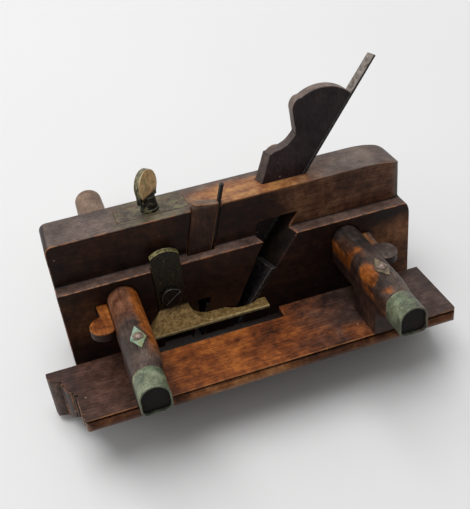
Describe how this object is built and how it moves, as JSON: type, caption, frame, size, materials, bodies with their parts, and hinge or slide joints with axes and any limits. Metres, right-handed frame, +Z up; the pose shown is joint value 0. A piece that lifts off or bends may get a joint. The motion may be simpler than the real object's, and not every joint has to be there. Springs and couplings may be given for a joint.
{
  "type": "sash fillister plane",
  "caption": "Wooden sash fillister plane with a skewed iron, nicker, screw depth stop and a moulded fence that slides on wedged arch-topped stems.",
  "frame": {"origin": "on the surface that the plane lies on, below the middle of its box", "axes": "+X from the toe to the heel along the stock; +Y away from the fence side; +Z up. The tool leans back by 18.85 degrees, on the inner edge of its fence rail and the far ends of its stems"},
  "size_m": [0.2603, 0.2232, 0.1603],
  "materials": {
    "stock_wood": "dark oiled old wood, worn arrises",
    "fence_wood": "oiled old wood, handled to a sheen",
    "stem_wood": "handled wood, orange-brown where worn",
    "wedge_wood": "dark old wood",
    "nicker_wedge_wood": "worn old wood",
    "key_wood": "worn, orange-brown",
    "plate_brass": "dull and tarnished",
    "thumbscrew_brass": "rubbed bright on its faces, dark green at its edge",
    "stop_brass": "olive tarnish",
    "screw_steel": "dark, slotted",
    "iron_steel": "dull, patinated",
    "ferrule_brass": "grey-green verdigris",
    "diamond_brass": "verdigris over worn brass",
    "rivet_copper": "brown copper alloy"
  },
  "bodies": {
    "stock": {"stock": "stock_wood", "top_plate": "plate_brass", "top_plate_screws": "plate_brass"},
    "fence_carriage": {"fence": "fence_wood", "front_stem": "stem_wood", "rear_stem": "stem_wood", "front_ferrule": "ferrule_brass", "rear_ferrule": "ferrule_brass", "front_diamond_plate": "diamond_brass", "rear_diamond_plate": "diamond_brass", "front_rivet": "rivet_copper", "rear_rivet": "rivet_copper", "front_burr": "diamond_brass", "rear_burr": "diamond_brass"},
    "front_key": {"front_key": "key_wood"},
    "rear_key": {"rear_key": "key_wood"},
    "main_iron": {"main_iron": "iron_steel"},
    "main_wedge": {"main_wedge": "wedge_wood"},
    "nicker_iron": {"nicker_iron": "iron_steel"},
    "nicker_wedge": {"nicker_wedge": "nicker_wedge_wood"},
    "depth_stop": {"depth_stop": "stop_brass", "stop_screw": "screw_steel", "stop_nut": "stop_brass"},
    "thumbscrew": {"thumbscrew": "thumbscrew_brass", "thrust_collar": "plate_brass"}
  },
  "joints": [
    {"name": "fence_slide", "type": "slide", "parent": "stock", "child": "fence_carriage", "axis": [0, 0.9464, -0.3231], "range_m": [-0.085, 0.0095]},
    {"name": "front_key_slide", "type": "slide", "parent": "stock", "child": "front_key", "axis": [0, -0.9464, 0.3231], "range_m": [0, 0.06]},
    {"name": "rear_key_slide", "type": "slide", "parent": "stock", "child": "rear_key", "axis": [0, -0.9464, 0.3231], "range_m": [0, 0.06]},
    {"name": "main_wedge_slide", "type": "slide", "parent": "stock", "child": "main_wedge", "axis": [0.5869, 0.2616, 0.7662], "range_m": [0, 0.08]},
    {"name": "main_iron_slide", "type": "slide", "parent": "stock", "child": "main_iron", "axis": [0.5869, 0.2616, 0.7662], "range_m": [-0.003, 0.004]},
    {"name": "nicker_iron_slide", "type": "slide", "parent": "stock", "child": "nicker_iron", "axis": [0.2639, 0.3116, 0.9128], "range_m": [-0.002, 0.004]},
    {"name": "nicker_wedge_slide", "type": "slide", "parent": "stock", "child": "nicker_wedge", "axis": [0.2639, 0.3116, 0.9128], "range_m": [0, 0.04]},
    {"name": "thumbscrew_turn", "type": "hinge", "parent": "stock", "child": "thumbscrew", "pos_m": [-0.04115, 0.01827, 0.09297], "axis": [0, 0.3231, 0.9464], "range_deg": [-1441, 2881]},
    {"name": "depth_stop_slide", "type": "slide", "parent": "stock", "child": "depth_stop", "axis": [0, 0.3231, 0.9464], "range_m": [-0.012, 0.006]}
  ],
  "couplings": [
    {"joint": "thumbscrew_turn", "follows": "depth_stop_slide", "rad_per_m": -4188.8}
  ]
}
